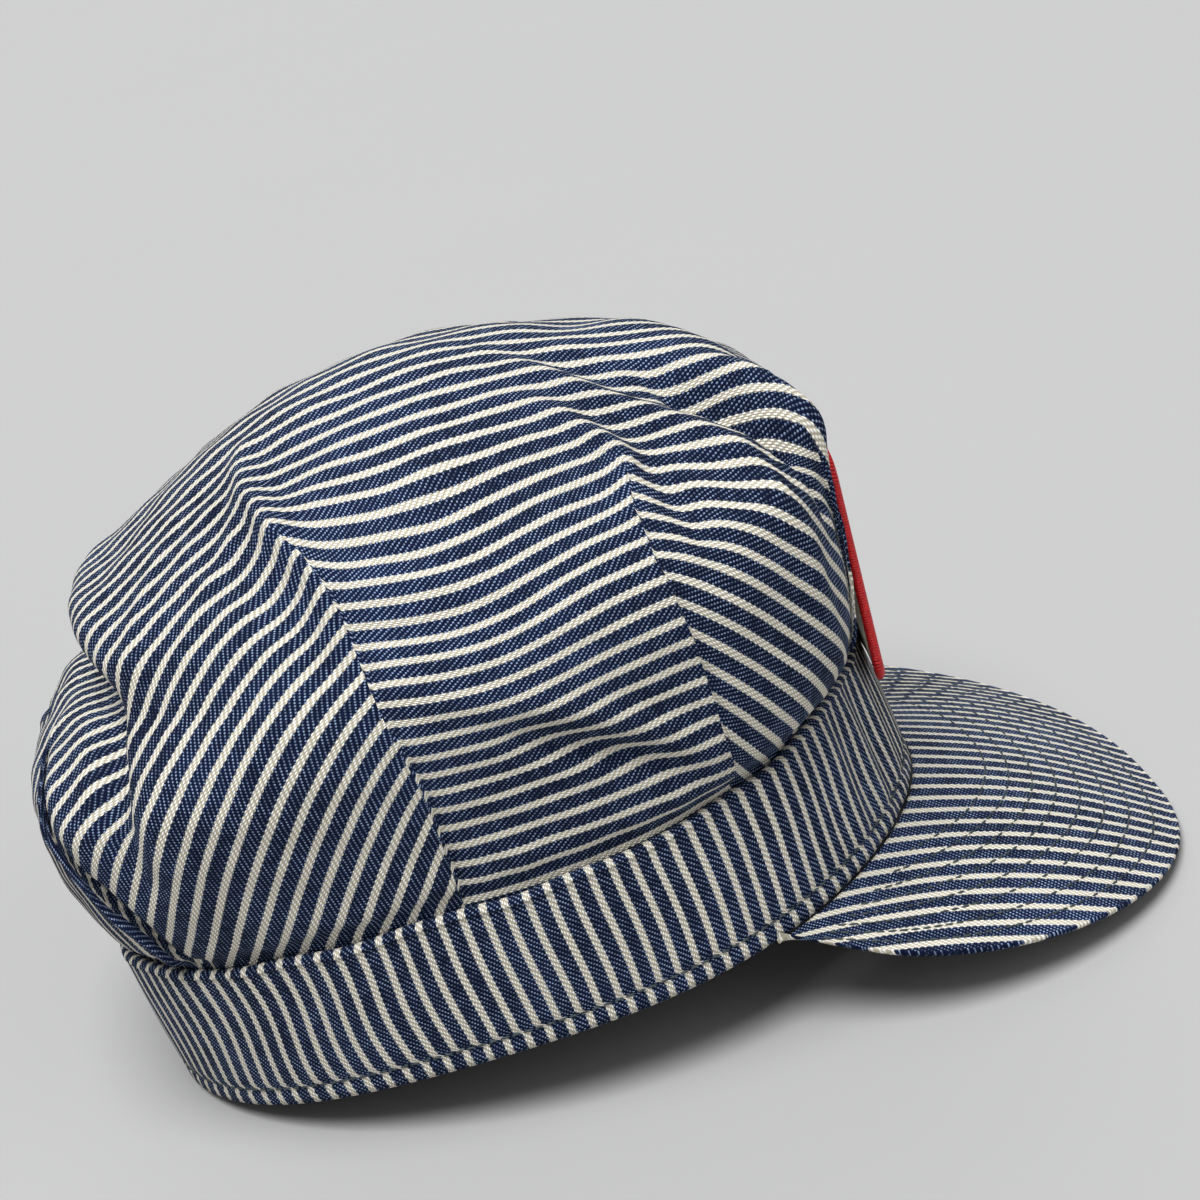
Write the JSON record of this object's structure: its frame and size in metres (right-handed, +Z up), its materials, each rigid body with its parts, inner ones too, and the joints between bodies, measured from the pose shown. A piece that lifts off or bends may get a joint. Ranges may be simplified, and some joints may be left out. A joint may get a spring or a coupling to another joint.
{
  "type": "engineer cap",
  "caption": "Soft striped engineer cap with a full pleated crown, a folded band, a curved stiff peak and a plain front patch.",
  "frame": {"origin": "on the surface that the cap rests on, under the middle of the cap's box", "axes": "+X to the wearer's left, -Y to the front where the peak is, +Z up. The cap rests tipped back on the back of its band and the tip of its peak."},
  "size_m": [0.1596, 0.2722, 0.1631],
  "materials": {
    "crown_cloth": "cotton twill with navy and cream stripes",
    "band_cloth": "cotton twill with navy and cream stripes, folded double",
    "peak_cloth": "striped cotton twill over a stiffener, with rows of dark stitching",
    "patch_twill": "plain cream twill",
    "patch_thread": "red overlocked thread with a soft sheen"
  },
  "bodies": {
    "root": {"crown": "crown_cloth", "band": "band_cloth", "peak": "peak_cloth", "patch_ground": "patch_twill", "patch_border": "patch_thread"}
  },
  "joints": []
}
